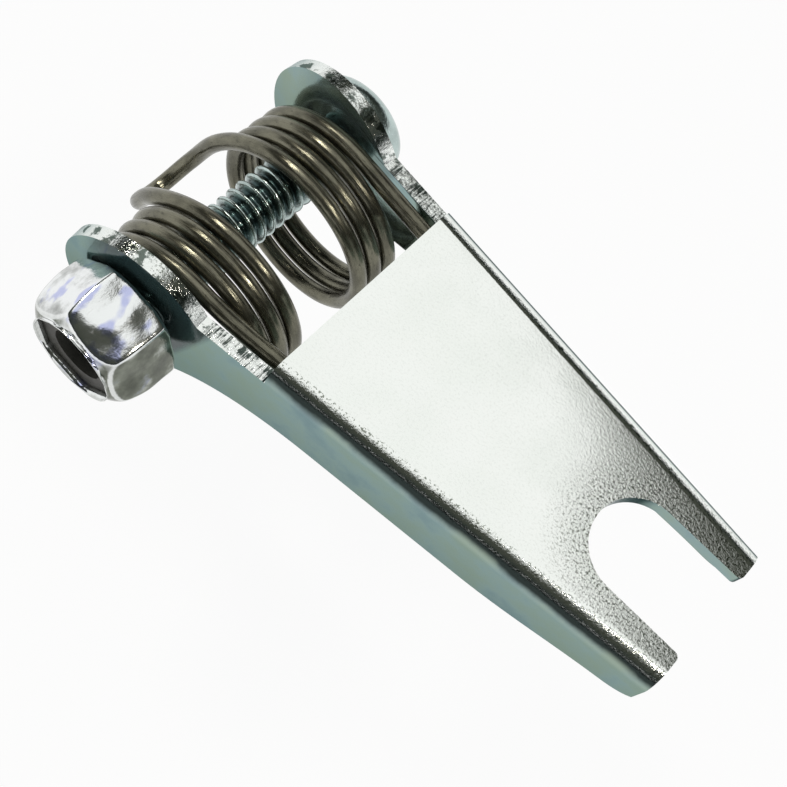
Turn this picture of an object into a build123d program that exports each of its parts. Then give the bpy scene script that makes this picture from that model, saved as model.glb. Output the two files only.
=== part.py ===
from build123d import *
from math import cos, radians, sin, sqrt
import os

# Hoist hook latch: a folded sheet latch that swings on a bolt and is pushed shut by a double torsion spring.
# Frame: origin on the bolt's axis, midway between the ears. +X runs to the forked tip, +Y along the bolt
# to its head, +Z out of the web's outer face. Sizes are in millimetres.

# Sheet of the latch plate
sheet = 1.25
outer_bend = 1.75
half_width = 11.4          # from the middle to an ear's outer face, at the bolt
taper = 0.096              # each flange closes in by this much for each millimetre towards the tip
web_top = 6.0
web_start = 11.6
tip_x = 46.1
ear_radius = 6.9
neck_top = 4.35
flange_bottom = -1.55
flange_bottom_start = 16.5
flange_bottom_end = 31.0
tip_bottom = 0.65
tip_rounding = 3.0
bottom_rise = 0.2          # the lower edge climbs by this much along its straight run
belly_angle = -52.0        # where the lower edge leaves the ear, in degrees from +X

# Fork slot in the tip
slot_half_width = 3.85
slot_end = 35.25
prong_rounding = 0.45

# Bolt, a number 10 machine screw with a cross recess
bolt_radius = 2.413
hinge_clearance = 0.08
head_radius = 4.6
head_height = 3.1
head_crown = 1.0           # height of the head's upright rim
head_clearance = 0.05
bolt_chamfer = 0.5
recess_span = 4.6
recess_width = 1.25
recess_depth = 1.7
recess_taper = 9.0

# Lock nut with a plastic locking ring
nut_flats = 9.525
nut_height = 5.65
nut_standoff = 0.6         # bare thread between the near ear and the nut
nut_turn = -14.0           # where the nut's first corner stopped, in degrees from +X
nut_chamfer = 0.35
nut_shoulder = 1.55        # height of the rounded shoulder at the outer end
rim_flats = 7.3            # crimped opening round the ring
rim_depth = 0.4
thread_clearance = 0.03
ring_radius = 4.0
ring_thickness = 1.7
ring_hole = 2.28
ring_clearance = 0.02
bolt_recess = 0.9          # the bolt's end lies this far below the ring's face

# Torsion spring
wire = 1.42
coil_radius = 7.7
coil_x = 2.0
coil_z = -3.3
coil_first_y = 3.72        # wire centre where each coil starts, beside the gap
coil_pitch = 1.6
coil_lean = 0.05           # the coils close in towards the tip, as the flanges do
coil_turns = 3
bridge_angle = 115.0       # where the wire leaves a coil for the bridge, in degrees from +X
leg_angle = 80.0           # where the wire leaves a coil for its leg
bridge_arm = (-6.45, 3.72, -1.1)     # an arm of the loop passes here on its way down behind the coils
bridge_foot = (-8.1, 2.9, -5.2)
bridge_middle = (-8.8, 0, -7.5)      # lowest point of the loop
leg_reach = 27.0
leg_gap = 0.3              # between a leg and the sheet round it

# Places that follow from the sizes above
inner_bend = outer_bend - sheet
trim = 0.5                                # the sheet is made this much too long, then cut at the tip
stretch = sqrt(1 + taper ** 2)            # length along a flange for each millimetre of X
ear_reach = half_width + taper * ear_radius
near_bearing = -(half_width + nut_standoff)
nut_end = near_bearing - nut_height
ring_face = nut_end + rim_depth
bolt_end = ring_face + bolt_recess
head_base = half_width + taper * head_radius + head_clearance


def inner_half_width(x):
    """Half of the channel's inner width at x."""
    return half_width - taper * x - sheet * stretch


def filled(*lines):
    """Face inside lines that meet end to end."""
    return make_face([edge for line in lines for edge in line.edges()])


def side_outline():
    """Outline of one flange in its own sheet plane, without its ear: neck, side of the channel and tip."""
    tip = (tip_x + trim) * stretch
    leave = (ear_radius * cos(radians(belly_angle)), ear_radius * sin(radians(belly_angle)))
    belly = Spline([leave, (flange_bottom_start * stretch, flange_bottom)],
                   tangents=[(-sin(radians(belly_angle)), cos(radians(belly_angle))), (1, 0.02)])
    straight = Line(belly @ 1, (flange_bottom_end * stretch, flange_bottom + bottom_rise))
    rise = Spline([straight @ 1, (tip - tip_rounding, tip_bottom)], tangents=[straight % 1, (1, 0.12)])
    nose = Spline([rise @ 1, (tip, tip_bottom + tip_rounding)], tangents=[rise % 1, (0, 1)])
    rest = Polyline(nose @ 1, (tip, web_top), (0, web_top), (0, 0), belly @ 0)
    return filled(belly, straight, rise, nose, rest)


def sheet_plane():
    """Outer face of the far flange, which closes in towards the tip; its normal points inward."""
    return Plane(origin=(0, half_width, 0), x_dir=(1, -taper, 0), z_dir=(-taper, -1, 0))


def both_sides(shape):
    """Raise a shape drawn in the sheet plane to the sheet's thickness, on both sides of the latch."""
    far = extrude(sheet_plane() * shape, amount=sheet)
    return far + mirror(far, about=Plane.XZ)


def web():
    """The flat top of the channel, from over the bolt to past the tip, before it is cut to length."""
    end = tip_x + trim
    near = half_width - taper * end
    plan = Polyline((0, -half_width), (end, -near), (end, near), (0, half_width), close=True)
    return Pos(0, 0, web_top - sheet) * extrude(make_face(plan), amount=sheet)


def block(low, high):
    """Box between two corners."""
    size = [b - a for a, b in zip(low, high)]
    return Pos(*[(a + b) / 2 for a, b in zip(low, high)]) * Box(*size)


def fork_slot():
    """Cutter for the slot between the prongs: a round end and straight sides, open at the tip."""
    centre = slot_end + slot_half_width
    mouth = tip_x + outer_bend
    end = Pos(centre, 0) * Circle(slot_half_width)
    sides = Pos((centre + mouth) / 2, 0) * Rectangle(mouth - centre, 2 * slot_half_width)
    return Pos(0, 0, web_top - 2 * sheet) * extrude(end + sides, amount=3 * sheet)


def long_edges(part, height, half):
    """The pair of straight edges that run from the necks to the tip at a height, one on each side."""
    found = []
    for edge in part.edges().filter_by(GeomType.LINE):
        middle = edge.center()
        level = abs(middle.Z - height) < 0.01 and edge.length > tip_x / 2
        if level and abs(abs(middle.Y) - half(middle.X)) < 0.05:
            found.append(edge)
    return found


def latch_plate():
    """One folded sheet: web, two flanges with ears, and the forked tip."""
    wide = 2 * half_width
    plate = web() + both_sides(side_outline())
    plate -= block((tip_x, -wide, -wide), (tip_x + wide, wide, wide))
    plate -= block((-wide, -wide, -wide), (trim, wide, wide))
    plate = fillet(long_edges(plate, web_top, lambda x: half_width - taper * x), outer_bend)
    plate = fillet(long_edges(plate, web_top - sheet, inner_half_width), inner_bend)
    plate -= block((-1, -wide, neck_top), (web_start, wide, wide))
    plate += both_sides(Circle(ear_radius))
    plate -= fork_slot()
    tips = [edge for edge in plate.edges().filter_by(Axis.Z)
            if abs(edge.center().X - tip_x) < 0.01 and abs(abs(edge.center().Y) - slot_half_width) < 0.01]
    plate = fillet(tips, prong_rounding)
    hole = Rot(-90, 0, 0) * Cylinder(bolt_radius + hinge_clearance, 2 * ear_reach + 2)
    return plate - hole


def pivot_bolt():
    """Screw along Y: plain form of the thread, domed head with a cross recess."""
    crown_radius = head_radius * 0.74
    profile = Polyline((0, bolt_end), (bolt_radius - bolt_chamfer, bolt_end),
                       (bolt_radius, bolt_end + bolt_chamfer), (bolt_radius, head_base),
                       (head_radius, head_base), (head_radius, head_base + head_crown))
    top = head_base + head_height
    shoulder = Spline([profile @ 1, (crown_radius, top - 0.28 * (head_height - head_crown)), (0, top)],
                      tangents=[(0, 1), (-1, 0)])
    axis = Line((0, top), (0, bolt_end))
    bolt = revolve(filled(profile, shoulder, axis), axis=Axis.Y)
    cross = Rectangle(recess_span, recess_width) + Rectangle(recess_width, recess_span)
    mouth = Plane(origin=(0, top, 0), x_dir=(1, 0, 0), z_dir=(0, -1, 0))
    recess = extrude(mouth * cross, amount=recess_depth, taper=recess_taper)
    lead = extrude(mouth * cross, amount=-1)
    return bolt - recess - lead


def nut_envelope():
    """Turned envelope of the nut: chamfered bearing face and rounded shoulder at the outer end."""
    corner = nut_flats / sqrt(3)
    rim = rim_flats / sqrt(3) + 0.35
    side = Polyline((0, near_bearing), (corner - 2 * nut_chamfer, near_bearing),
                    (corner + 0.05, near_bearing - nut_chamfer), (corner + 0.05, nut_end + nut_shoulder))
    shoulder = Spline([side @ 1, (rim, nut_end)], tangents=[(0, -1), (-1, -0.25)])
    end = Polyline(shoulder @ 1, (0, nut_end), (0, near_bearing))
    return revolve(filled(side, shoulder, end), axis=Axis.Y)


def hexagon(flats):
    """Hexagon in the XZ plane, turned to where the nut stopped."""
    corners = [(flats / sqrt(3) * cos(radians(nut_turn + 60 * k)), flats / sqrt(3) * sin(radians(nut_turn + 60 * k)))
               for k in range(6)]
    return make_face(Polyline(*corners, close=True))


def across(shape, start, end):
    """Extrude a shape drawn as X and Z from one Y to another."""
    low = min(start, end)
    face = Plane(origin=(0, low, 0), x_dir=(1, 0, 0), z_dir=(0, -1, 0))
    return extrude(face * shape, amount=-abs(end - start))


def lock_nut():
    """Hexagon nut with a bored thread, a pocket for the ring and a crimped six-sided opening."""
    body = across(hexagon(nut_flats), near_bearing, nut_end) & nut_envelope()
    bore = across(Circle(bolt_radius + thread_clearance), near_bearing, nut_end)
    pocket = across(Circle(ring_radius + ring_clearance), ring_face, ring_face + ring_thickness)
    opening = fillet(hexagon(rim_flats).vertices(), 0.8)
    mouth = across(opening, ring_face, nut_end - 1)
    return body - bore - pocket - mouth


def nut_insert():
    """Plastic locking ring in the nut's pocket: the bolt has widened it up to its end."""
    ring = across(Circle(ring_radius), ring_face, ring_face + ring_thickness - ring_clearance)
    ring -= across(Circle(ring_hole), ring_face, ring_face + ring_thickness)
    return ring - across(Circle(bolt_radius + ring_clearance), bolt_end, ring_face + ring_thickness)


def spring_half():
    """Centre line of the far half: straight leg, bend, coil, and half of the loop that bridges the coils."""
    start = radians(bridge_angle)
    turned = Plane(origin=(coil_x, coil_first_y, coil_z), x_dir=(cos(start), -coil_lean * cos(start), sin(start)),
                   z_dir=(coil_lean, 1, 0))
    sweep_angle = 360 * coil_turns + bridge_angle - leg_angle
    coil = turned * Helix(pitch=coil_pitch, height=coil_pitch * sweep_angle / 360, radius=coil_radius)
    along = Vector(1, -taper, 0).normalized()
    straight = Vector(web_start, inner_half_width(web_start) - leg_gap - wire / 2,
                      web_top - sheet - leg_gap - wire / 2)
    bend = Spline([coil @ 1, straight], tangents=[coil % 1, along])
    leg = Line(straight, straight + along * ((leg_reach - web_start) * stretch))
    loop = Spline([coil @ 0, bridge_arm, bridge_foot, bridge_middle], tangents=[(coil % 0) * -1, (0, -1, 0)])
    return leg, bend, coil, loop


def torsion_spring():
    """One wire: leg, coil, bridging loop, coil, leg, mirrored about the middle."""
    half = spring_half()
    other = [mirror(piece, about=Plane.XZ) for piece in half[::-1]]
    path = Wire([edge for piece in (*half, *other) for edge in piece.edges()])
    leg = half[0]
    section = Plane(origin=leg @ 1, z_dir=leg % 1) * Circle(wire / 2)
    return sweep(section, path=path)


def main():
    os.makedirs("parts", exist_ok=True)
    parts = {
        "latch_plate": latch_plate(),
        "pivot_bolt": pivot_bolt(),
        "lock_nut": lock_nut(),
        "nut_insert": nut_insert(),
        "torsion_spring": torsion_spring(),
    }
    for name, part in parts.items():
        export_step(part, f"parts/{name}.step")
        box = part.bounding_box()
        print(name, "volume", round(part.volume, 2), "box", box.min, box.max)


main()
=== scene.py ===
"""Hoist hook latch: the finished look of the folded plate, torsion spring, bolt and lock nut."""
from math import cos, pi, radians, sin, tan

import bmesh
import bpy
from mathutils import Matrix, Vector, noise as waves


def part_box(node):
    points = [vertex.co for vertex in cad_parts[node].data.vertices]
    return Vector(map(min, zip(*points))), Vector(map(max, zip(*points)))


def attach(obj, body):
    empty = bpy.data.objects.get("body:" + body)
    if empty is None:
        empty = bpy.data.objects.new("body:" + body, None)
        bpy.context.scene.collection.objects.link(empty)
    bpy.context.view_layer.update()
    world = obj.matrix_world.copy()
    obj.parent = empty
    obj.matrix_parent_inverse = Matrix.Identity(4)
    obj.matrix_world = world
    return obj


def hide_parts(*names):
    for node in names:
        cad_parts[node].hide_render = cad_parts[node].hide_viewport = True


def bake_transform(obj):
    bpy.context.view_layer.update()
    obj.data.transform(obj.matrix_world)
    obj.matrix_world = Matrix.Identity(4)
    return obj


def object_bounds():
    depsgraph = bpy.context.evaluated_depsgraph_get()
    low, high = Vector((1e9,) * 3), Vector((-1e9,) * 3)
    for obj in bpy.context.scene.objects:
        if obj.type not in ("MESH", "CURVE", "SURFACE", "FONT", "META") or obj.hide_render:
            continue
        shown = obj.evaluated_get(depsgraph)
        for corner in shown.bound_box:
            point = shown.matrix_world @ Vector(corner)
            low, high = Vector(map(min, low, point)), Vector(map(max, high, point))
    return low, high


bl_info = {
    "name": "Hoist hook latch",
    "version": (1, 0, 0),
    "blender": (4, 5, 0),
    "location": "3D View > Sidebar > Latch",
    "description": "Dresses the packed model of a sprung hoist hook latch",
    "category": "Object",
}

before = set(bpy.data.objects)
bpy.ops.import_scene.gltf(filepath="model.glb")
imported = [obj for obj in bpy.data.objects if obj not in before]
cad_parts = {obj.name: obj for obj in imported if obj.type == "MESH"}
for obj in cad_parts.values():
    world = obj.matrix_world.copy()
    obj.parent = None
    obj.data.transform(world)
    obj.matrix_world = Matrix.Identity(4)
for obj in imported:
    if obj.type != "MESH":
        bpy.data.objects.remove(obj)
bpy.context.view_layer.update()
PACKED_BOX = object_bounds()

BOLT_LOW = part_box("pivot_bolt")[0]
NUT_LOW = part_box("lock_nut")[0]

MM = 0.001
COLOUR_A, COLOUR_B, COLOUR_RESULT = 6, 7, 2    # a Mix node's colour sockets


# Sizes and colours that a user would change

def length(name, description, size):
    """A length in metres, given in millimetres."""
    return bpy.props.FloatProperty(name=name, description=description, default=size * MM,
                                   unit="LENGTH", precision=5)


def place(name, description, point):
    """A point in metres, given in millimetres."""
    return bpy.props.FloatVectorProperty(name=name, description=description, unit="LENGTH",
                                         precision=5, default=tuple(c * MM for c in point))


def direction(name, description, vector):
    """A direction in the row frame."""
    return bpy.props.FloatVectorProperty(name=name, description=description, default=vector,
                                         subtype="DIRECTION", precision=4)


def count(name, description, whole):
    """A whole number of at least one."""
    return bpy.props.IntProperty(name=name, description=description, default=whole, min=1)


def colour(name, description, value):
    """A linear colour."""
    return bpy.props.FloatVectorProperty(name=name, description=description, default=value,
                                         subtype="COLOR", min=0.0, max=1.0)


def turn(name, description, degrees):
    """An angle, given in degrees."""
    return bpy.props.FloatProperty(name=name, description=description, default=radians(degrees),
                                   subtype="ANGLE")


class SpringSizes(bpy.types.PropertyGroup):
    """Sizes of the torsion spring."""
    wire: length("Wire", "Diameter of the wire", 1.42)
    radius: length("Coil radius", "From the coil's axis to the wire's centre", 7.7)
    start: place("Coil start", "Centre of the far coil's first turn", (2.0, 3.72, -3.3))
    pitch: length("Coil pitch", "Rise of one turn along the bolt", 1.6)
    lean: bpy.props.FloatProperty(name="Lean", description="Slope of the coils' closing in",
                                  default=0.05, subtype="FACTOR")
    turns: count("Turns", "Whole turns of each coil", 3)
    bridge_angle: turn("Bridge angle", "Where the wire leaves a coil for the bridge", 115)
    leg_angle: turn("Leg angle", "Where the wire leaves a coil for its leg", 80)
    arm: place("Loop arm", "The bridging loop's far arm, on its way down", (-6.45, 3.72, -1.1))
    foot: place("Loop foot", "Lower end of the far arm", (-8.1, 2.9, -5.2))
    middle: place("Loop middle", "Lowest point of the loop", (-8.8, 0.0, -7.5))
    leg_start: place("Leg start", "Where the far leg runs straight", (11.6, 8.021, 3.74))
    leg_end: place("Leg end", "End of the far leg under the web", (27.0, 6.542, 3.74))
    wind: place("Wind", "Where the far half moves fully with the plate", (2.4, 9.6, 0.0))
    step: length("Wire step", "Spacing of the wire's rings of points", 0.45)
    sides: count("Wire sides", "Points in each ring", 28)


class BoltSizes(bpy.types.PropertyGroup):
    """Sizes of the bolt's thread and of the nut's finish."""
    pitch: length("Thread pitch", "24 threads to the inch", 25.4 / 24)
    crest: length("Crest radius", "Half of the thread's outer diameter", 2.413)
    depth: length("Thread depth", "From crest to root", 0.64)
    chamfer: length("End chamfer", "Chamfer at the bolt's end", 0.5)
    head_base: length("Head base", "Underside of the head, along the bolt", 11.8916)
    head_entry: length("Head entry", "How far the thread runs into the head", 0.3)
    thread_steps: count("Thread steps", "Points in one turn of the thread", 64)
    thread_across: count("Thread profile", "Points across the thread's profile", 13)
    rim_bead: length("Rim bead", "Diameter of the crimped lip round the ring", 0.95)
    rim_flats: length("Rim flats", "Crimped opening over its flats", 7.3)
    rim_corner: length("Rim corner", "Corner radius of the crimped opening", 0.9)
    rim_step: length("Rim step", "Spacing of the lip's rings of points", 0.2)
    rim_sides: count("Rim sides", "Points in each ring of the lip", 20)
    nut_turn: turn("Nut turn", "Where the nut's first corner stopped", -14)
    cell: length("Nut cell", "Cell size of the nut's even mesh", 0.13)
    passes: count("Nut rounding", "How often the nut's edges are melted", 20)
    hub: length("Nut hub", "Radius where the nut's outside begins", 3.9)
    hub_fade: length("Hub fade", "Width over which waves and taper set in", 0.7)
    wave: length("Nut wave", "Height of the soft forging waves", 0.10)
    wave_length: length("Wave length", "Size of one forging wave", 1.9)
    crown_length: length("Crown length", "From the nut's end to where its crown begins", 3.9)
    crown_taper: length("Crown taper", "How far the crown closes in at the nut's end", 0.80)


class PlateSizes(bpy.types.PropertyGroup):
    """Places on the folded plate that its finish follows."""
    edge: length("Edge rounding", "Rounding of the sheared edges", 0.12)
    web_start: length("Web start", "Where the web begins over the spring", 11.6)
    neck_start: length("Neck start", "Where the sheared neck begins beside an ear", 5.6)
    slot_end: length("Slot end", "Bottom of the fork slot", 35.25)
    slot_half: length("Slot half width", "Half of the fork slot's width", 3.85)
    shade_reach: length("Shade reach", "From the bolt's axis to the painted shade's edge", 7.6)
    shade_rear: length("Shade rear", "Where the painted shade is full behind the bolt", -2.5)
    shade_front: length("Shade front", "Where the painted shade's front edge begins", 4.4)


class LatchColours(bpy.types.PropertyGroup):
    """Colours of the finishes."""
    zinc: colour("Zinc", "Bright plating on the web", (0.93, 0.95, 0.92))
    zinc_side_shaded: colour("Zinc side shaded", "Blue-grey plating on the flanges, darkened with painted shade", (0.31, 0.42, 0.44))
    zinc_cloud: colour("Zinc cloud", "Duller clouds on the web", (0.86, 0.90, 0.85))
    zinc_tarnish: colour("Zinc tarnish", "Greener patches on the flanges", (0.32, 0.40, 0.33))
    zinc_bend_shade: colour("Zinc bend shade", "Painted shade on the bends", (0.030, 0.040, 0.038))
    zinc_fleck_and_shade: colour("Zinc fleck and shade", "Dark grains round the fork slot, and flecks of painted shade where the web meets the bends", (0.11, 0.13, 0.09))
    ear_shade: colour("Ear shade", "Painted shade on the ear beside the nut", (0.020, 0.050, 0.056))
    rim_bright: colour("Rim bright", "Burnished parts of the ears' rims", (0.88, 0.91, 0.88))
    rim_dark: colour("Rim dark", "Torn parts of the ears' rims", (0.15, 0.18, 0.16))
    neck_bright: colour("Neck bright", "Crests of the sheared necks' stripes", (0.90, 0.93, 0.90))
    neck_dark: colour("Neck dark", "Grooves of the sheared necks' stripes", (0.07, 0.09, 0.08))
    thread: colour("Thread", "Plating of the bolt", (0.52, 0.62, 0.60))
    thread_root: colour("Thread root", "Darker colour in the thread's roots", (0.05, 0.08, 0.08))
    thread_scratch: colour("Thread scratch", "Bright scratches on the bolt", (0.82, 0.88, 0.88))
    nut: colour("Nut", "Polished nut", (0.88, 0.90, 0.90))
    nut_heat: colour("Nut heat", "Blue-violet tint where the polish ran hot", (0.30, 0.34, 0.75))
    nut_side_shade: colour("Nut side shade", "Painted shade on the nut's sides", (0.13, 0.14, 0.115))
    nut_edge: colour("Nut edge", "Polished edges of the nut", (0.86, 0.88, 0.87))
    nut_crevice: colour("Nut crevice", "Darker colour in the nut's crevices", (0.06, 0.062, 0.055))
    wire: colour("Wire", "Bare spring wire", (0.160, 0.155, 0.116))
    wire_pit: colour("Wire pit", "Pits in the wire", (0.022, 0.021, 0.018))
    ring: colour("Ring", "Plastic locking ring", (0.075, 0.073, 0.062))
    floor: colour("Floor", "Pale floor", (0.88, 0.90, 0.93))


class StudioSettings(bpy.types.PropertyGroup):
    """Floor, lamps, surroundings and camera."""
    floor_half: length("Floor half width", "Half of the floor's width", 3000)
    floor_middle: place("Floor middle", "Middle of the floor, clear below the swung tip",
                        (20, 0, -40.5))
    backdrop: colour("Backdrop", "Surroundings low down", (1.0, 1.0, 1.0))
    room_low: colour("Room low", "Surroundings over the backdrop", (0.015, 0.022, 0.022))
    room_middle: colour("Room middle", "Surroundings at half height", (0.030, 0.036, 0.032))
    room_high: colour("Room high", "Surroundings near the ceiling", (0.050, 0.055, 0.044))
    room_top: colour("Room top", "Surroundings overhead", (0.058, 0.062, 0.050))
    softbox: colour("Softbox", "Round softbox overhead", (0.95, 0.96, 0.95))
    softbox_towards: direction("Softbox direction", "Where the overhead softbox is",
                               (-0.20, 0.10, 0.975))
    lamp_size: length("Lamp size", "Diameter of each lamp", 75)
    lamp_power: bpy.props.FloatProperty(name="Lamp power", description="Power of each lamp",
                                        default=0.40, unit="POWER")
    lamp_tint: colour("Lamp tint", "Warm light of the lamps", (1.0, 0.94, 0.84))
    front_lamp: place("Front lamp", "Where the front lamp hangs", (200, 20, 340))
    back_lamp: place("Back lamp", "Where the back lamp hangs", (-210, 20, 340))
    lens: bpy.props.FloatProperty(name="Lens", description="Focal length", default=62.2,
                                  unit="CAMERA")
    camera: place("Camera", "Where the camera stands", (27.23, -44.2, 94.69))
    camera_right: direction("Camera right", "To the right in the picture", (0.7174, 0.6590, 0.2257))
    camera_down: direction("Camera down", "Down in the picture", (0.6911, -0.6329, -0.3489))


# Nodes

def add(tree, kind, inputs=None, **settings):
    """A node with its settings, and values or links for its inputs by name or number."""
    node = tree.nodes.new(kind)
    for key, value in settings.items():
        setattr(node, key, value)
    for key, value in (inputs or {}).items():
        socket = node.inputs[key]
        if isinstance(value, bpy.types.NodeSocket):
            tree.links.new(value, socket)
        else:
            socket.default_value = value
    return node


def number(tree, operation, a, b=0.0, c=0.0):
    """One Math node."""
    return add(tree, "ShaderNodeMath", {0: a, 1: b, 2: c}, operation=operation).outputs[0]


def ramp(tree, value, low, high, start=0.0, end=1.0):
    """A smooth step of a value from one level to another."""
    return add(tree, "ShaderNodeMapRange", {
        "Value": value, "From Min": low, "From Max": high, "To Min": start, "To Max": end},
        interpolation_type="SMOOTHSTEP").outputs["Result"]


def blend_colours(tree, factor, a, b):
    """Mix of two colours."""
    return add(tree, "ShaderNodeMix", {"Factor": factor, COLOUR_A: a, COLOUR_B: b},
               data_type="RGBA").outputs[COLOUR_RESULT]


def noise(tree, vector, scale, detail=3.0, roughness=0.5):
    """Fractal noise from 0 to 1."""
    return add(tree, "ShaderNodeTexNoise", {"Vector": vector, "Scale": scale, "Detail": detail,
                                            "Roughness": roughness}).outputs["Fac"]


def stretched(tree, vector, factors):
    """A vector with each axis multiplied."""
    return add(tree, "ShaderNodeVectorMath", {0: vector, 1: factors},
               operation="MULTIPLY").outputs[0]


def in_millimetres(tree, vector):
    """A vector in metres, as millimetres."""
    return stretched(tree, vector, (1 / MM, 1 / MM, 1 / MM))


def flat_distance(tree, a, b):
    """Length of a vector with two parts."""
    both = add(tree, "ShaderNodeCombineXYZ", {0: a, 1: b}).outputs[0]
    return add(tree, "ShaderNodeVectorMath", {0: both}, operation="LENGTH").outputs["Value"]


def rgba(value):
    """A colour with full alpha."""
    return (*value, 1.0)


def new_group(name, inputs, outputs):
    """A shader node group with named sockets, its input node and its output node."""
    tree = bpy.data.node_groups.new(name, "ShaderNodeTree")
    for label, kind, default in inputs:
        socket = tree.interface.new_socket(name=label, in_out="INPUT", socket_type=kind)
        if default is not None:
            socket.default_value = default
    for label, kind in outputs:
        tree.interface.new_socket(name=label, in_out="OUTPUT", socket_type=kind)
    return tree, tree.nodes.new("NodeGroupInput"), tree.nodes.new("NodeGroupOutput")


def plating_grain():
    """Grain of plated metal: fine orange peel as a height, and drifting tone."""
    name = "Plating grain"
    if name in bpy.data.node_groups:
        return bpy.data.node_groups[name]
    tree, source, sink = new_group(
        name,
        [("Vector", "NodeSocketVector", None), ("Grain per mm", "NodeSocketFloat", 5.0),
         ("Cloud per mm", "NodeSocketFloat", 0.35)],
        [("Height", "NodeSocketFloat"), ("Tone", "NodeSocketFloat"),
         ("Flecks", "NodeSocketFloat")])
    vector = in_millimetres(tree, source.outputs["Vector"])
    peel = noise(tree, vector, source.outputs["Grain per mm"], 4.0, 0.62)
    cloud = noise(tree, vector, source.outputs["Cloud per mm"], 5.0, 0.55)
    grains = stretched(tree, vector, (1.0, 1.25, 1.0))
    flecks = noise(tree, grains, source.outputs["Grain per mm"], 2.0, 0.7)
    tree.links.new(peel, sink.inputs["Height"])
    tree.links.new(ramp(tree, cloud, 0.3, 0.7), sink.inputs["Tone"])
    tree.links.new(ramp(tree, flecks, 0.54, 0.60), sink.inputs["Flecks"])
    return tree


def handling_marks():
    """Fine scratches in two directions, from 0 to 1."""
    name = "Handling marks"
    if name in bpy.data.node_groups:
        return bpy.data.node_groups[name]
    tree, source, sink = new_group(
        name,
        [("Vector", "NodeSocketVector", None), ("Amount", "NodeSocketFloat", 0.5)],
        [("Mask", "NodeSocketFloat")])
    vector = in_millimetres(tree, source.outputs["Vector"])
    along = noise(tree, stretched(tree, vector, (0.25, 7.0, 7.0)), 1.0, 3.0, 0.6)
    across = noise(tree, stretched(tree, vector, (6.0, 0.3, 6.0)), 1.0, 2.0, 0.6)
    lines = number(tree, "MAXIMUM", ramp(tree, along, 0.62, 0.72), ramp(tree, across, 0.66, 0.76))
    mask = number(tree, "MULTIPLY", lines, source.outputs["Amount"])
    tree.links.new(mask, sink.inputs["Mask"])
    return tree


def place_group(tree, group, inputs):
    """A group in a material, with values or links for its inputs."""
    return add(tree, "ShaderNodeGroup", inputs, node_tree=group).outputs


def new_material(name):
    """An empty material: its tree and its Principled BSDF."""
    material = bpy.data.materials.new(name)
    material.use_nodes = True
    tree = material.node_tree
    tree.nodes.clear()
    shader = tree.nodes.new("ShaderNodeBsdfPrincipled")
    output = tree.nodes.new("ShaderNodeOutputMaterial")
    tree.links.new(shader.outputs["BSDF"], output.inputs["Surface"])
    return material, tree, shader


def bump(tree, shader, height, depth):
    """Feeds a height, 0 to 1, to the shader's normal; depth is in millimetres."""
    node = add(tree, "ShaderNodeBump", {"Height": height, "Distance": depth * MM, "Strength": 1.0})
    tree.links.new(node.outputs["Normal"], shader.inputs["Normal"])


def painted_ear_shade(tree, x, y, z, sizes):
    """Mask of the painted shade on the ear beside the nut, standing in for the nut's dark
    reflection, much fainter on the far ear; its front slants.
    """
    edge, slant = sizes.shade_reach / MM, -0.37
    reach = ramp(tree, flat_distance(tree, x, z), edge, edge + 0.7, 1.0, 0.0)
    rear = ramp(tree, x, sizes.shade_rear / MM - 3.0, sizes.shade_rear / MM)
    front = ramp(tree, number(tree, "MULTIPLY_ADD", z, slant, x), sizes.shade_front / MM,
                 sizes.shade_front / MM + 0.9, 1.0, 0.0)
    shade_extent = number(tree, "MULTIPLY", number(tree, "MULTIPLY", reach, rear), front)
    return number(tree, "MULTIPLY", shade_extent, ramp(tree, y, -2.0, 0.0, 0.92, 0.25))


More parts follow.
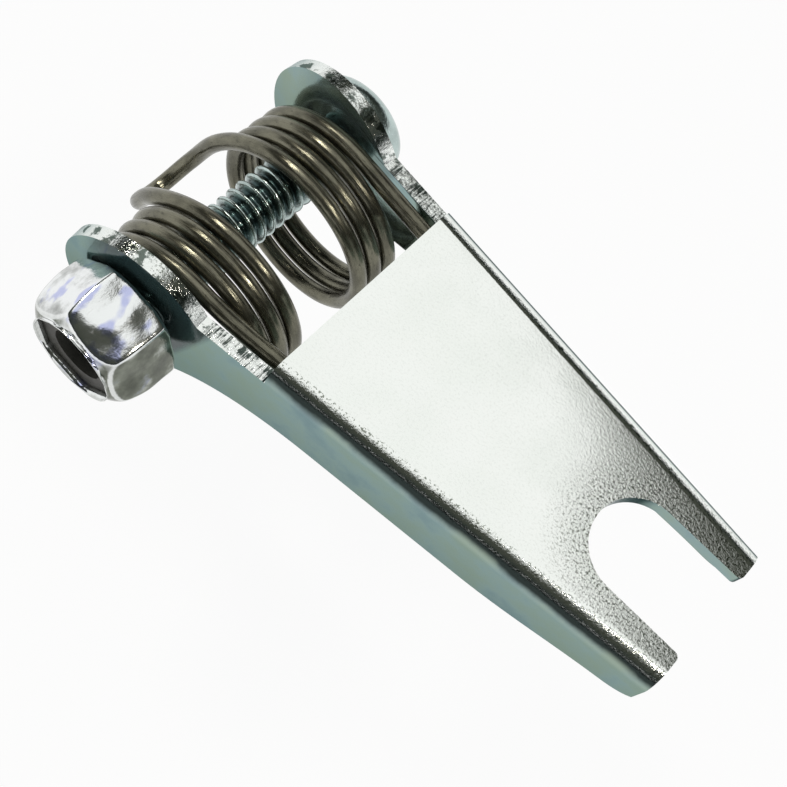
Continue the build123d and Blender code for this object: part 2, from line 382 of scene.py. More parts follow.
def zinc_sheet(colours, sizes):
    """Zinc-plated sheet: bright sandy web, blue-grey flanges, sheared edges; the bends, the flanges
    and the ear beside the nut are darkened with painted shade.
    """
    material, tree, shader = new_material("zinc plated sheet")
    coordinates = tree.nodes.new("ShaderNodeTexCoord")
    point = coordinates.outputs["Object"]
    normal = add(tree, "ShaderNodeSeparateXYZ", {0: coordinates.outputs["Normal"]})
    x, y, z = add(tree, "ShaderNodeSeparateXYZ", {0: in_millimetres(tree, point)}).outputs
    grain = place_group(tree, plating_grain(),
                        {"Vector": point, "Grain per mm": 4.5, "Cloud per mm": 0.22})
    marks = place_group(tree, handling_marks(), {"Vector": point, "Amount": 0.35})
    upright = number(tree, "ABSOLUTE", normal.outputs["Z"])
    sideways = number(tree, "ABSOLUTE", normal.outputs["Y"])

    # The faces, told apart by their normals: web, flanges, sheared rims of the ears, sheared necks
    web = ramp(tree, upright, 0.70, 0.82)
    flank = ramp(tree, number(tree, "MULTIPLY_ADD", grain["Tone"], 0.10, sideways), 0.86, 1.05)
    web_start, neck_start = sizes.web_start / MM, sizes.neck_start / MM
    before_web = ramp(tree, x, web_start - 0.25, web_start - 0.05, 1.0, 0.0)
    sheared = number(tree, "MULTIPLY", before_web, ramp(tree, sideways, 0.35, 0.75, 1.0, 0.0))
    neck = number(tree, "MULTIPLY", sheared, ramp(tree, x, neck_start, neck_start + 0.6))

    # The sandy patch round the fork slot, by distance from the slot's middle line
    slot_half = sizes.slot_half / MM
    bottom = sizes.slot_end / MM + slot_half
    past_end = number(tree, "MINIMUM", number(tree, "SUBTRACT", x, bottom), 0.0)
    reach = flat_distance(tree, past_end, y)
    sandy = ramp(tree, reach, slot_half + 0.15, slot_half + 5.65, 1.0, 0.0)
    # Flecks also run along the web's edge where it turns into the bends: painted shade, the ragged
    # edge of the bends' dark band. Round the slot they are grains
    brink = number(tree, "MULTIPLY", ramp(tree, upright, 0.9999, 0.99, 0.0, 0.8),
                   ramp(tree, upright, 0.90, 0.94))
    specked = ramp(tree, reach, slot_half + 0.15, slot_half + 4.15, 0.95, 0.06)
    specked = number(tree, "MULTIPLY", number(tree, "MAXIMUM", specked, brink), web)

    # Colours, from the flanges to the web and the sheared edges
    # Painted shade: the flanges are kept much darker than the web, and darker still towards their
    # lower edge; the greener patches are tarnish
    tarnish_low_shade = rgba(c * 0.45 for c in colours.zinc_tarnish)
    side = blend_colours(tree, grain["Tone"], rgba(colours.zinc_side_shaded), rgba(colours.zinc_tarnish))
    side = blend_colours(tree, ramp(tree, z, -6.0, 5.5, 0.45, 0.0), side, tarnish_low_shade)
    # Painted shade: the ear's face beside the nut is darkened where the nut's dark reflection falls
    ear_shade = painted_ear_shade(tree, x, y, z, sizes)
    side = blend_colours(tree, ear_shade, side, rgba(colours.ear_shade))
    # Painted shade: the bends between web and flanges take a near-black colour in place of their
    # dark reflection
    tone = blend_colours(tree, flank, rgba(colours.zinc_bend_shade), side)
    clouds = number(tree, "MULTIPLY", grain["Tone"], 0.4)
    tone = blend_colours(tree, web, tone,
                         blend_colours(tree, clouds, rgba(colours.zinc), rgba(colours.zinc_cloud)))
    torn = noise(tree, stretched(tree, point, (900, 900, 900)), 1.0, 5.0, 0.65)
    rim = blend_colours(tree, ramp(tree, torn, 0.42, 0.50), rgba(colours.rim_dark),
                        rgba(colours.rim_bright))
    tone = blend_colours(tree, sheared, tone, rim)
    striped = noise(tree, stretched(tree, point, (5200, 380, 260)), 1.0, 3.0, 0.7)
    striped = number(tree, "MULTIPLY_ADD", torn, 0.55, number(tree, "MULTIPLY", striped, 0.6))
    stripes = blend_colours(tree, ramp(tree, striped, 0.50, 0.58), rgba(colours.neck_dark),
                            rgba(colours.neck_bright))
    tone = blend_colours(tree, neck, tone, stripes)
    flecks = number(tree, "MULTIPLY", grain["Flecks"], specked)
    tone = blend_colours(tree, flecks, tone, rgba(colours.zinc_fleck_and_shade))
    tree.links.new(tone, shader.inputs["Base Color"])

    # Less metallic under the painted shade beside the nut
    metal_outside_shade = number(tree, "MULTIPLY_ADD", number(tree, "MULTIPLY", ear_shade, flank), -0.85, 1.0)
    tree.links.new(metal_outside_shade, shader.inputs["Metallic"])
    shader.inputs["Specular Tint"].default_value = (0.45, 0.52, 0.52, 1.0)
    rough = number(tree, "MULTIPLY_ADD", grain["Tone"], 0.04, 0.055)
    rough = number(tree, "MULTIPLY_ADD", marks["Mask"], 0.15, rough)
    tree.links.new(rough, shader.inputs["Roughness"])

    # Relief: grain, coarser on the bends and the sandy patch, torn rims and striated necks
    curved = ramp(tree, number(tree, "MAXIMUM", upright, sideways), 0.999, 0.97, 0.065, 0.42)
    grained = number(tree, "MULTIPLY_ADD", sandy, 0.10, curved)
    height = number(tree, "MULTIPLY", grain["Height"], grained)
    height = number(tree, "MULTIPLY_ADD", torn, number(tree, "MULTIPLY", sheared, 0.7), height)
    striae = number(tree, "MULTIPLY", number(tree, "MULTIPLY", striped, neck), 1.2)
    height = number(tree, "ADD", height, striae)
    bump(tree, shader, height, 0.06)
    return material


def plated_thread(colours, sizes):
    """Plated bolt: blue-grey, with darker roots."""
    material, tree, shader = new_material("zinc plated thread")
    point = tree.nodes.new("ShaderNodeTexCoord").outputs["Object"]
    grain = place_group(tree, plating_grain(),
                        {"Vector": point, "Grain per mm": 4.0, "Cloud per mm": 0.5})
    marks = place_group(tree, handling_marks(), {"Vector": point, "Amount": 0.5})
    x, _, z = add(tree, "ShaderNodeSeparateXYZ", {0: in_millimetres(tree, point)}).outputs
    crest = sizes.crest / MM
    height = ramp(tree, flat_distance(tree, x, z), crest - 0.62, crest - 0.10)
    tone = blend_colours(tree, grain["Tone"], rgba(c * 0.75 for c in colours.thread),
                         rgba(colours.thread))
    tone = blend_colours(tree, height, rgba(colours.thread_root), tone)
    tone = blend_colours(tree, marks["Mask"], tone, rgba(colours.thread_scratch))
    tree.links.new(tone, shader.inputs["Base Color"])
    shader.inputs["Metallic"].default_value = 1.0
    rough = number(tree, "MULTIPLY_ADD", grain["Tone"], 0.08, 0.15)
    tree.links.new(rough, shader.inputs["Roughness"])
    bump(tree, shader, grain["Height"], 0.02)
    return material


def polished_nut(colours):
    """Bright polished nut with soft forging waves under the polish; its sideways and downward
    facets are darkened with painted shade.
    """
    material, tree, shader = new_material("polished nut")
    coordinates = tree.nodes.new("ShaderNodeTexCoord")
    point = coordinates.outputs["Object"]
    grain = place_group(tree, plating_grain(),
                        {"Vector": point, "Grain per mm": 2.2, "Cloud per mm": 0.55})
    marks = place_group(tree, handling_marks(), {"Vector": point, "Amount": 0.6})
    normal = add(tree, "ShaderNodeSeparateXYZ", {0: coordinates.outputs["Normal"]})
    hollow = add(tree, "ShaderNodeAttribute", attribute_name="hollow").outputs["Fac"]
    # Painted shade: facets facing sideways or down take the dark side colour, and facets facing up
    # take the bright polish
    lifted = number(tree, "MULTIPLY_ADD", grain["Tone"], 0.3, normal.outputs["Z"])
    side_shade = blend_colours(tree, grain["Tone"], rgba(c * 0.7 for c in colours.nut_side_shade),
                         rgba(c * 1.6 for c in colours.nut_side_shade))
    heat = noise(tree, stretched(tree, point, (650, 420, 650)), 1.0, 2.0, 0.5)
    lit_polish = blend_colours(tree, ramp(tree, heat, 0.54, 0.66, 0.0, 0.6), rgba(colours.nut),
                          rgba(colours.nut_heat))
    tone = blend_colours(tree, ramp(tree, lifted, 0.45, 0.95), side_shade, lit_polish)
    edges = ramp(tree, hollow, -0.15, -0.7, 0.0, 0.75)
    tone = blend_colours(tree, edges, tone, rgba(colours.nut_edge))
    tone = blend_colours(tree, ramp(tree, hollow, 0.10, 0.6), tone, rgba(colours.nut_crevice))
    tree.links.new(tone, shader.inputs["Base Color"])
    shader.inputs["Metallic"].default_value = 1.0
    rough = number(tree, "MULTIPLY_ADD", marks["Mask"], 0.22, 0.13)
    tree.links.new(rough, shader.inputs["Roughness"])
    bump(tree, shader, grain["Height"], 0.012)
    return material


def spring_wire(colours):
    """Bare drawn wire: dark, oily brown-grey with drawing lines along it."""
    material, tree, shader = new_material("drawn spring wire")
    path = add(tree, "ShaderNodeAttribute", attribute_name="wire_path").outputs["Vector"]
    lines = noise(tree, stretched(tree, path, (350, 5200, 5200)), 1.0, 3.0, 0.6)
    patches = noise(tree, stretched(tree, path, (420, 900, 900)), 1.0, 4.0, 0.6)
    pits = noise(tree, stretched(tree, path, (2600, 5200, 5200)), 1.0, 2.0, 0.6)
    tone = blend_colours(tree, ramp(tree, patches, 0.35, 0.68),
                         rgba(c * 0.70 for c in colours.wire), rgba(c * 1.25 for c in colours.wire))
    pitted = ramp(tree, pits, 0.60, 0.72, 0.0, 0.5)
    tone = blend_colours(tree, pitted, tone, rgba(colours.wire_pit))
    tree.links.new(tone, shader.inputs["Base Color"])
    shader.inputs["Metallic"].default_value = 0.85
    rough = ramp(tree, lines, 0.3, 0.7, 0.17, 0.32)
    tree.links.new(rough, shader.inputs["Roughness"])
    bump(tree, shader, lines, 0.035)
    return material


def locking_plastic(colours):
    """Dull plastic of the locking ring."""
    material, tree, shader = new_material("locking ring plastic")
    point = tree.nodes.new("ShaderNodeTexCoord").outputs["Object"]
    grain = place_group(tree, plating_grain(),
                        {"Vector": point, "Grain per mm": 6.0, "Cloud per mm": 0.8})
    tone = blend_colours(tree, grain["Tone"], rgba(colours.ring),
                         rgba(c * 0.72 for c in colours.ring))
    tree.links.new(tone, shader.inputs["Base Color"])
    shader.inputs["Roughness"].default_value = 0.55
    bump(tree, shader, grain["Height"], 0.03)
    return material


def pale_floor(colours):
    """Pale floor that shows white to the camera and in the metal, with a trace of shadow."""
    material, tree, shader = new_material("pale floor")
    shader.inputs["Base Color"].default_value = rgba(colours.floor)
    shader.inputs["Roughness"].default_value = 0.9
    rays = tree.nodes.new("ShaderNodeLightPath")
    seen = number(tree, "MAXIMUM", rays.outputs["Is Camera Ray"], rays.outputs["Is Glossy Ray"])
    seen = number(tree, "MAXIMUM", seen, rays.outputs["Is Transmission Ray"])
    glow = add(tree, "ShaderNodeEmission", {"Color": rgba((1, 1, 1)), "Strength": 1.0})
    mixed = add(tree, "ShaderNodeMixShader", {0: number(tree, "MULTIPLY", seen, 0.93),
                                              1: shader.outputs["BSDF"], 2: glow.outputs[0]})
    output = next(node for node in tree.nodes if node.type == "OUTPUT_MATERIAL")
    tree.links.new(mixed.outputs[0], output.inputs["Surface"])
    return material


# Meshes

def smooth(mesh, angle):
    """Smooth shading, with edges sharper than the angle kept crisp."""
    mesh.polygons.foreach_set("use_smooth", [True] * len(mesh.polygons))
    mesh.set_sharp_from_angle(angle=angle)


def merged_copy(node):
    """A merged copy of a packed node's mesh, as a bmesh."""
    bm = bmesh.new()
    bm.from_mesh(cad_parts[node].data)
    bmesh.ops.remove_doubles(bm, verts=bm.verts, dist=0.0002 * MM)
    bmesh.ops.dissolve_limit(bm, angle_limit=radians(0.05), verts=bm.verts, edges=bm.edges)
    return bm


def new_piece(name, bm, material):
    """An object from a bmesh, at the origin."""
    if not bm.faces:
        raise RuntimeError(f"{name} has no faces")
    mesh = bpy.data.meshes.new(name)
    bm.to_mesh(mesh)
    bm.free()
    mesh.materials.append(material)
    piece = bpy.data.objects.new(name, mesh)
    bpy.context.scene.collection.objects.link(piece)
    return piece


def apply_modifiers(piece):
    """Replaces a piece's mesh by its evaluated one, and drops the modifiers."""
    bpy.context.view_layer.update()
    evaluated = piece.evaluated_get(bpy.context.evaluated_depsgraph_get())
    mesh = bpy.data.meshes.new_from_object(evaluated)
    piece.modifiers.clear()
    piece.data = mesh


def round_edges(piece, width):
    """Rounds the piece's sharp edges."""
    bevel = piece.modifiers.new("Rounded edges", "BEVEL")
    bevel.width = width
    bevel.segments = 3
    bevel.limit_method = "ANGLE"
    bevel.angle_limit = radians(38)
    bevel.use_clamp_overlap = True
    apply_modifiers(piece)


def melt_edges(piece, sizes):
    """Even cells, edges melted as in forging, a crowned end and soft waves. The attribute hollow
    keeps how far each point rose (above 0) or sank."""
    cells = piece.modifiers.new("Even cells", "REMESH")
    cells.mode = "VOXEL"
    cells.voxel_size = sizes.cell
    apply_modifiers(piece)
    sharp = [vertex.co.copy() for vertex in piece.data.vertices]
    melt = piece.modifiers.new("Melted edges", "SMOOTH")
    melt.factor = 0.5
    melt.iterations = sizes.passes
    apply_modifiers(piece)
    mesh = piece.data
    hollow = mesh.attributes.new("hollow", "FLOAT", "POINT")
    most = 0.4 * sizes.cell
    for vertex, before in zip(mesh.vertices, sharp):
        hollow.data[vertex.index].value = (vertex.co - before).dot(vertex.normal) / most
    normals = [vertex.normal.copy() for vertex in mesh.vertices]
    crown = NUT_LOW.y + sizes.crown_length
    for vertex, normal in zip(mesh.vertices, normals):
        across = Vector((vertex.co.x, 0, vertex.co.z))
        outside = min(max((across.length - sizes.hub) / sizes.hub_fade, 0.0), 1.0)
        past = max(crown - vertex.co.y, 0.0) / sizes.crown_length
        vertex.co -= across.normalized() * (sizes.crown_taper * past * past * outside)
        vertex.co += normal * (waves.noise(vertex.co / sizes.wave_length) * sizes.wave * outside)
    smooth(mesh, radians(60))


# Geometry node trees

def geometry_tree(name, sockets):
    """A geometry node tree with named inputs: the tree, its inputs and its output node."""
    tree = bpy.data.node_groups.new(name, "GeometryNodeTree")
    tree.interface.new_socket(name="Geometry", in_out="INPUT", socket_type="NodeSocketGeometry")
    for label, kind, default in sockets:
        socket = tree.interface.new_socket(name=label, in_out="INPUT", socket_type=kind)
        if default is not None:
            socket.default_value = default
    tree.interface.new_socket(name="Geometry", in_out="OUTPUT", socket_type="NodeSocketGeometry")
    return tree, tree.nodes.new("NodeGroupInput").outputs, tree.nodes.new("NodeGroupOutput")


def finish_tree(tree, geometry, material, sink):
    """Realizes instances, sets the material and ends the tree."""
    real = add(tree, "GeometryNodeRealizeInstances", {"Geometry": geometry})
    painted = add(tree, "GeometryNodeSetMaterial",
                  {"Geometry": real.outputs[0], "Material": material})
    tree.links.new(painted.outputs[0], sink.inputs[0])


def wire_tree():
    """Round wire along a curve; wire_path keeps each point's place along and round the wire."""
    tree, given, sink = geometry_tree("Wire along a path", [
        ("Diameter", "NodeSocketFloat", 0.001), ("Step", "NodeSocketFloat", 0.0005),
        ("Sides", "NodeSocketInt", 24), ("Material", "NodeSocketMaterial", None)])
    radius = number(tree, "MULTIPLY", given["Diameter"], 0.5)
    even = add(tree, "GeometryNodeResampleCurve",
               {"Curve": given["Geometry"], "Length": given["Step"]}, mode="LENGTH")
    run = tree.nodes.new("GeometryNodeSplineParameter")
    keep_run = tree.nodes.new("GeometryNodeCaptureAttribute")
    keep_run.capture_items.new("FLOAT", "Run")
    tree.links.new(even.outputs[0], keep_run.inputs["Geometry"])
    tree.links.new(run.outputs["Length"], keep_run.inputs["Run"])
    circle = add(tree, "GeometryNodeCurvePrimitiveCircle",
                 {"Resolution": given["Sides"], "Radius": radius})
    around = tree.nodes.new("GeometryNodeSplineParameter")
    keep_turn = tree.nodes.new("GeometryNodeCaptureAttribute")
    keep_turn.capture_items.new("FLOAT", "Turn")
    tree.links.new(circle.outputs["Curve"], keep_turn.inputs["Geometry"])
    tree.links.new(around.outputs["Factor"], keep_turn.inputs["Turn"])
    tube = add(tree, "GeometryNodeCurveToMesh", {"Curve": keep_run.outputs["Geometry"],
                                                 "Profile Curve": keep_turn.outputs["Geometry"],
                                                 "Fill Caps": True})
    angle = number(tree, "MULTIPLY", keep_turn.outputs["Turn"], 2 * pi)
    path = add(tree, "ShaderNodeCombineXYZ", {
        0: keep_run.outputs["Run"],
        1: number(tree, "MULTIPLY", radius, number(tree, "COSINE", angle)),
        2: number(tree, "MULTIPLY", radius, number(tree, "SINE", angle))})
    stored = add(tree, "GeometryNodeStoreNamedAttribute",
                 {"Geometry": tube.outputs[0], "Name": "wire_path", "Value": path.outputs[0]},
                 data_type="FLOAT_VECTOR", domain="POINT")
    shaded = add(tree, "GeometryNodeSetShadeSmooth", {"Geometry": stored.outputs[0]})
    finish_tree(tree, shaded.outputs[0], given["Material"], sink)
    return tree


def thread_tree():
    """Screw thread along Y: one strip wound on a helix, clipped square at both ends and capped."""
    tree, given, sink = geometry_tree("Screw thread", [
        ("Start", "NodeSocketFloat", 0.0), ("End", "NodeSocketFloat", 0.02),
        ("Pitch", "NodeSocketFloat", 0.001), ("Crest", "NodeSocketFloat", 0.0024),
        ("Root", "NodeSocketFloat", 0.0018),
        ("Chamfer", "NodeSocketFloat", 0.0005), ("Steps", "NodeSocketInt", 64),
        ("Across", "NodeSocketInt", 13), ("Material", "NodeSocketMaterial", None)])
    span = number(tree, "SUBTRACT", given["End"], given["Start"])
    turns = number(tree, "CEIL", number(tree, "DIVIDE", span, given["Pitch"]))
    turns = number(tree, "ADD", turns, 1.0)
    total = number(tree, "MULTIPLY", turns, 2 * pi)
    columns = number(tree, "ADD", number(tree, "MULTIPLY", turns, given["Steps"]), 1.0)
    strip = add(tree, "GeometryNodeMeshGrid", {
        "Size X": total, "Size Y": 1.0, "Vertices X": columns, "Vertices Y": given["Across"]})

    # The flat strip's X becomes the angle wound, and its Y the way from one root to the next
    spot = tree.nodes.new("GeometryNodeInputPosition").outputs[0]
    here = add(tree, "ShaderNodeSeparateXYZ", {0: spot})
    angle = number(tree, "ADD", here.outputs["X"], number(tree, "MULTIPLY", total, 0.5))
    across = number(tree, "ADD", here.outputs["Y"], 0.5)
    climbed = number(tree, "SUBTRACT", number(tree, "DIVIDE", angle, 2 * pi), 1.0)
    climbed = number(tree, "ADD", climbed, across)
    along = number(tree, "MULTIPLY_ADD", climbed, given["Pitch"], given["Start"])
    along = number(tree, "MINIMUM", number(tree, "MAXIMUM", along, given["Start"]), given["End"])
    off_crest = number(tree, "ABSOLUTE", number(tree, "SUBTRACT", across, 0.5))
    slope = number(tree, "MULTIPLY", off_crest, 2.0)
    form = ramp(tree, slope, 0.10, 0.78, given["Crest"], given["Root"])
    from_end = number(tree, "SUBTRACT", along, given["Start"])
    chamfered = number(tree, "SUBTRACT", given["Crest"], given["Chamfer"])
    radius = number(tree, "MINIMUM", form, number(tree, "ADD", chamfered, from_end))
    wound = add(tree, "ShaderNodeCombineXYZ", {
        0: number(tree, "MULTIPLY", radius, number(tree, "COSINE", angle)),
        1: along,
        2: number(tree, "MULTIPLY", radius, number(tree, "SINE", angle))})
    thread = add(tree, "GeometryNodeSetPosition",
                 {"Geometry": strip.outputs["Mesh"], "Position": wound.outputs[0]})
    joined = tree.nodes.new("GeometryNodeJoinGeometry")
    tree.links.new(thread.outputs[0], joined.inputs[0])
    for end in ("Start", "End"):
        disc = add(tree, "GeometryNodeMeshCircle",
                   {"Vertices": given["Steps"], "Radius": given["Root"]}, fill_type="NGON")
        centre = add(tree, "ShaderNodeCombineXYZ", {1: given[end]}).outputs[0]
        put = add(tree, "GeometryNodeTransform", {
            "Geometry": disc.outputs[0], "Translation": centre, "Rotation": (pi / 2, 0.0, 0.0)})
        tree.links.new(put.outputs[0], joined.inputs[0])
    closed = add(tree, "GeometryNodeMergeByDistance",
                 {"Geometry": joined.outputs[0], "Distance": 0.0001 * MM})
    shaded = add(tree, "GeometryNodeSetShadeSmooth", {"Geometry": closed.outputs[0]})
    finish_tree(tree, shaded.outputs[0], given["Material"], sink)
    return tree


def run_tree(tree, source, values):
    """Runs a geometry tree on an object's data, with values by input name, and gives the mesh."""
    holder = bpy.data.objects.new("holder", source)
    bpy.context.scene.collection.objects.link(holder)
    modifier = holder.modifiers.new("Tree", "NODES")
    modifier.node_group = tree
    for item in tree.interface.items_tree:
        if item.in_out == "INPUT" and item.name in values:
            modifier[item.identifier] = values[item.name]
    bpy.context.view_layer.update()
    evaluated = holder.evaluated_get(bpy.context.evaluated_depsgraph_get())
    mesh = bpy.data.meshes.new_from_object(evaluated)
    bpy.data.objects.remove(holder)
    if not mesh.polygons:
        raise RuntimeError(f"{tree.name} gave no faces")
    return mesh


def smooth_path(name, points, cyclic=False):
    """A Bezier curve through points; each point is (place, handle before, handle after)."""
    curve = bpy.data.curves.new(name, "CURVE")
    curve.dimensions = "3D"
    curve.resolution_u = 24
    spline = curve.splines.new("BEZIER")
    spline.bezier_points.add(len(points) - 1)
    spline.use_cyclic_u = cyclic
    for knot, (spot, before, after) in zip(spline.bezier_points, points):
        knot.handle_left_type = knot.handle_right_type = "FREE"
        knot.co, knot.handle_left, knot.handle_right = spot, before, after
    return curve


# Pieces

def half_spring(sizes):
    """Knots of the far half's centre line, from the leg's end to the middle of the loop."""
    centre = Vector(sizes.start)
    axis = Vector((sizes.lean, 1, 0)).normalized()

    def on_coil(angle, climb):
        radial = Vector((cos(angle), -sizes.lean * cos(angle), sin(angle))).normalized()
        return centre + axis * climb + radial * sizes.radius

    def knot(spot, heading, before, after):
        return spot, spot - heading * before, spot + heading * after

    leg_end, leg_start = Vector(sizes.leg_end), Vector(sizes.leg_start)
    back = (leg_start - leg_end).normalized()
    run = (leg_start - leg_end).length / 3
    total = 2 * pi * sizes.turns + sizes.bridge_angle - sizes.leg_angle
    steps = 8 * sizes.turns + 1
    part = total / steps
    nudge = 0.001    # radians, to find the way ahead
    reach = 4 / 3 * tan(part / 4) * sizes.radius
    coil = []
    for k in range(steps + 1):
        angle = sizes.leg_angle + part * k
        climb = sizes.pitch * (total - part * k) / (2 * pi)
        spot = on_coil(angle, climb)
        ahead = on_coil(angle + nudge, climb - sizes.pitch * nudge / (2 * pi))
        coil.append(knot(spot, (ahead - spot).normalized(), reach, reach))
    first, last = coil[0], coil[-1]
    bend = (first[0] - leg_start).length / 3
    coil[0] = (first[0], first[0] + (first[1] - first[0]).normalized() * bend, first[2])
    marks = [last[0], Vector(sizes.arm), Vector(sizes.foot), Vector(sizes.middle)]
    gaps = [(b - a).length / 3 for a, b in zip(marks, marks[1:])]
    coil[-1] = (last[0], last[1], last[0] + (last[2] - last[0]).normalized() * gaps[0])
    loop = []
    for k in (1, 2):
        behind, ahead = marks[k] - marks[k - 1], marks[k + 1] - marks[k]
        heading = (behind / gaps[k - 1] ** 2 + ahead / gaps[k] ** 2).normalized()
        loop.append(knot(marks[k], heading, gaps[k - 1], gaps[k]))
    return [knot(leg_end, back, run, run), knot(leg_start, back, run, bend), *coil, *loop,
            knot(marks[3], Vector((0, -1, 0)), gaps[2], gaps[2])]


def spring_path(sizes, side):
    """The centre line of the far half (side 1) or of its mirror image (side -1)."""
    return smooth_path("spring path", [[Vector((spot.x, spot.y * side, spot.z)) for spot in knot]
                                       for knot in half_spring(sizes)])


def rim_path(sizes):
    """Centre line of the crimped lip: a rounded hexagon just outside the nut's opening."""
    outside, inside = 0.25 * sizes.rim_bead, 0.14 * sizes.rim_bead
    flats, corner = sizes.rim_flats / 2 + outside, sizes.rim_corner + outside
    across = flats / cos(pi / 6) - corner / cos(pi / 6)
    y = NUT_LOW.y + inside
    knots = []
    for k in range(6):
        middle = sizes.nut_turn + k * pi / 3
        hub = Vector((across * cos(middle), y, across * sin(middle)))
        for side in (-1, 1):
            angle = middle + side * pi / 6
            spot = hub + corner * Vector((cos(angle), 0, sin(angle)))
            ahead = Vector((-sin(angle), 0, cos(angle)))
            arc = 4 / 3 * tan(pi / 12) * corner
            straight = across / 3
            before, after = (straight, arc) if side < 0 else (arc, straight)
            knots.append((spot, spot - ahead * before, spot + ahead * after))
    return smooth_path("rim path", knots, cyclic=True)


class LATCH_OT_plate(bpy.types.Operator):
    """Rounds the folded plate's sheared edges and gives it its plating"""
    bl_idname = "latch.plate"
    bl_label = "Folded plate"

    def execute(self, context):
        sizes = context.scene.latch_plate
        material = zinc_sheet(context.scene.latch_colours, sizes)
        piece = new_piece("folded_plate", merged_copy("latch_plate"), material)
        round_edges(piece, sizes.edge)
        smooth(piece.data, radians(50))
        flat = piece.modifiers.new("Flat faces stay flat", "WEIGHTED_NORMAL")
        flat.mode = "FACE_AREA"
        flat.weight = 100
        flat.keep_sharp = True
        apply_modifiers(piece)
        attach(piece, "latch")
        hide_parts("latch_plate")
        return {"FINISHED"}


class LATCH_OT_spring(bpy.types.Operator):
    """Winds the torsion spring's wire in two halves that meet in the loop"""
    bl_idname = "latch.spring"
    bl_label = "Torsion spring"

    def execute(self, context):
        sizes = context.scene.latch_spring
        material = spring_wire(context.scene.latch_colours)
        tree = wire_tree()
        for name, side in (("wound_spring_far", 1), ("wound_spring_near", -1)):
            mesh = run_tree(tree, spring_path(sizes, side), {
                "Diameter": sizes.wire, "Step": sizes.step, "Sides": sizes.sides,
                "Material": material})
            mesh.name = name
            smooth(mesh, radians(60))
            piece = bpy.data.objects.new(name, mesh)
            context.scene.collection.objects.link(piece)
            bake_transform(piece)
            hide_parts("torsion_spring")
        return {"FINISHED"}


class LATCH_OT_bolt(bpy.types.Operator):
    """Cuts the bolt's thread and keeps its domed head"""
    bl_idname = "latch.bolt"
    bl_label = "Threaded bolt"

    def execute(self, context):
        sizes = context.scene.latch_bolt
        material = plated_thread(context.scene.latch_colours, sizes)
        thread = run_tree(thread_tree(), bpy.data.meshes.new("blank"), {
            "Start": BOLT_LOW.y, "End": sizes.head_base + sizes.head_entry, "Pitch": sizes.pitch,
            "Crest": sizes.crest, "Root": sizes.crest - sizes.depth, "Chamfer": sizes.chamfer,
            "Steps": sizes.thread_steps, "Across": sizes.thread_across, "Material": material})
        bm = merged_copy("pivot_bolt")
        below_head = sizes.head_base - 0.01 * MM
        shank = [face for face in bm.faces if face.calc_center_median().y < below_head]
        bmesh.ops.delete(bm, geom=shank, context="FACES")
        bmesh.ops.holes_fill(bm, edges=[edge for edge in bm.edges if edge.is_boundary], sides=0)
        bmesh.ops.recalc_face_normals(bm, faces=bm.faces)
        bm.from_mesh(thread)
        piece = new_piece("threaded_bolt", bm, material)
        smooth(piece.data, radians(48))
        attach(piece, "pivot")
        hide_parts("pivot_bolt")
        return {"FINISHED"}


class LATCH_OT_nut(bpy.types.Operator):
    """Rounds the lock nut's edges and lays the crimped lip round its opening"""
    bl_idname = "latch.nut"
    bl_label = "Lock nut"

    def execute(self, context):
        sizes = context.scene.latch_bolt
        material = polished_nut(context.scene.latch_colours)
        bm = merged_copy("lock_nut")
        bm.from_mesh(run_tree(wire_tree(), rim_path(sizes), {
            "Diameter": sizes.rim_bead, "Step": sizes.rim_step, "Sides": sizes.rim_sides,
            "Material": material}))
        piece = new_piece("polished_nut", bm, material)
        melt_edges(piece, sizes)
        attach(piece, "pivot")
        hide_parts("lock_nut")
        return {"FINISHED"}


class LATCH_OT_ring(bpy.types.Operator):
    """Gives the plastic locking ring its dull finish"""
    bl_idname = "latch.ring"
    bl_label = "Locking ring"

    def execute(self, context):
        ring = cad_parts["nut_insert"]
        ring.material_slots[0].material = locking_plastic(context.scene.latch_colours)
        return {"FINISHED"}


def area_lamp(name, spot, aim, studio):
    """A round softbox that faces a point."""
    data = bpy.data.lights.new(name, "AREA")
    data.shape = "DISK"
    data.size = studio.lamp_size
    data.energy = studio.lamp_power
    data.color = studio.lamp_tint
    lamp = bpy.data.objects.new(name, data)
    lamp.location = spot
    lamp.rotation_euler = (aim - Vector(spot)).to_track_quat("-Z", "Y").to_euler()
    bpy.context.scene.collection.objects.link(lamp)


def studio_world(studio):
    """Studio round the object: pale backdrop, a dim room above it and one softbox overhead."""
    world = bpy.data.worlds.new("studio")
    bpy.context.scene.world = world
    world.use_nodes = True
    tree = world.node_tree
    tree.nodes.clear()
    looking = tree.nodes.new("ShaderNodeTexCoord").outputs["Generated"]
    height = add(tree, "ShaderNodeSeparateXYZ", {0: looking}).outputs["Z"]

    # Stops from 0, straight down, to 1, straight up
    room = add(tree, "ShaderNodeValToRGB", {0: number(tree, "MULTIPLY_ADD", height, 0.5, 0.5)})
    stops = room.color_ramp.elements
    stops[0].position, stops[0].color = 0.66, rgba(studio.backdrop)
    stops[1].position, stops[1].color = 0.98, rgba(studio.room_top)
    for position, tint in ((0.71, studio.room_low), (0.80, studio.room_middle),
                           (0.88, studio.room_high)):
        stops.new(position).color = rgba(tint)
    towards = add(tree, "ShaderNodeVectorMath", {0: looking, 1: studio.softbox_towards},
                  operation="DOT_PRODUCT").outputs["Value"]
    lit = blend_colours(tree, ramp(tree, towards, 0.882, 0.894), room.outputs[0],
                        rgba(studio.softbox))
    back = add(tree, "ShaderNodeBackground", {"Color": lit, "Strength": 1.0})
    output = tree.nodes.new("ShaderNodeOutputWorld")
    tree.links.new(back.outputs[0], output.inputs[0])


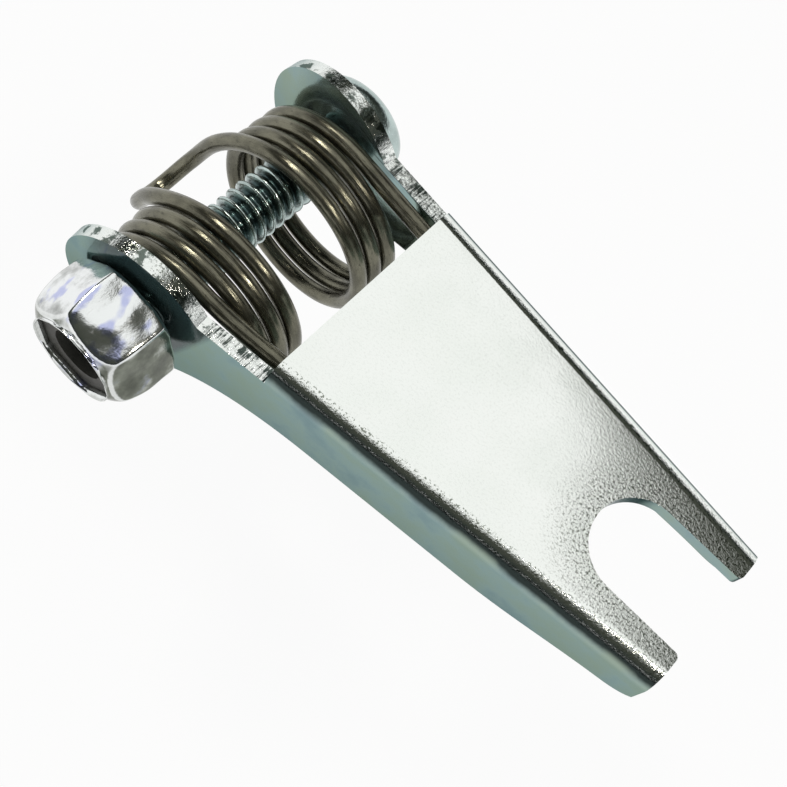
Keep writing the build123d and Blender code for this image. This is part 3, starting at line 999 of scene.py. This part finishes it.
class LATCH_OT_stage(bpy.types.Operator):
    """Sets the pale floor, the softboxes, the studio and the camera"""
    bl_idname = "latch.stage"
    bl_label = "Stage and camera"

    def execute(self, context):
        scene = context.scene
        studio = scene.latch_studio
        bm = bmesh.new()
        bmesh.ops.create_grid(bm, x_segments=2, y_segments=2, size=studio.floor_half,
                              matrix=Matrix.Translation(Vector(studio.floor_middle)))
        floor = new_piece("floor", bm, pale_floor(scene.latch_colours))
        low, high = PACKED_BOX
        middle = (low + high) / 2
        area_lamp("front softbox", studio.front_lamp, middle, studio)
        area_lamp("back softbox", studio.back_lamp, middle, studio)
        studio_world(studio)
        scene.view_settings.view_transform = "Standard"

        data = bpy.data.cameras.new("camera")
        data.sensor_width = 36.0
        data.lens = studio.lens
        data.clip_start = 10 * MM
        camera = bpy.data.objects.new("camera", data)
        right, down = Vector(studio.camera_right), Vector(studio.camera_down)
        away = right.cross(down).normalized()
        axes = Matrix((right, -down, -away)).transposed().to_4x4()
        camera.matrix_world = Matrix.Translation(Vector(studio.camera)) @ axes
        scene.collection.objects.link(camera)
        scene.camera = camera
        return {"FINISHED"}


OPERATORS = (LATCH_OT_plate, LATCH_OT_spring, LATCH_OT_bolt, LATCH_OT_nut, LATCH_OT_ring,
             LATCH_OT_stage)
GROUPS = {"latch_spring": SpringSizes, "latch_bolt": BoltSizes, "latch_plate": PlateSizes,
          "latch_colours": LatchColours, "latch_studio": StudioSettings}


class LATCH_PT_panel(bpy.types.Panel):
    """Lists the latch's pieces and the settings they are made from"""
    bl_idname = "LATCH_PT_panel"
    bl_label = "Hoist hook latch"
    bl_space_type = "VIEW_3D"
    bl_region_type = "UI"
    bl_category = "Latch"

    def draw(self, context):
        column = self.layout.column()
        for operator in OPERATORS:
            column.operator(operator.bl_idname)
        for name, group in GROUPS.items():
            column.label(text=group.__doc__)
            for setting in group.__annotations__:
                column.prop(getattr(context.scene, name), setting)


def register():
    for cls in (*GROUPS.values(), *OPERATORS, LATCH_PT_panel):
        bpy.utils.register_class(cls)
    for name, group in GROUPS.items():
        setattr(bpy.types.Scene, name, bpy.props.PointerProperty(type=group))


def unregister():
    for name in GROUPS:
        delattr(bpy.types.Scene, name)
    for cls in reversed((*GROUPS.values(), *OPERATORS, LATCH_PT_panel)):
        bpy.utils.unregister_class(cls)


def main():
    register()
    bpy.ops.latch.plate()
    bpy.ops.latch.spring()
    bpy.ops.latch.bolt()
    bpy.ops.latch.nut()
    bpy.ops.latch.ring()
    bpy.ops.latch.stage()


if __name__ == "__main__":
    main()
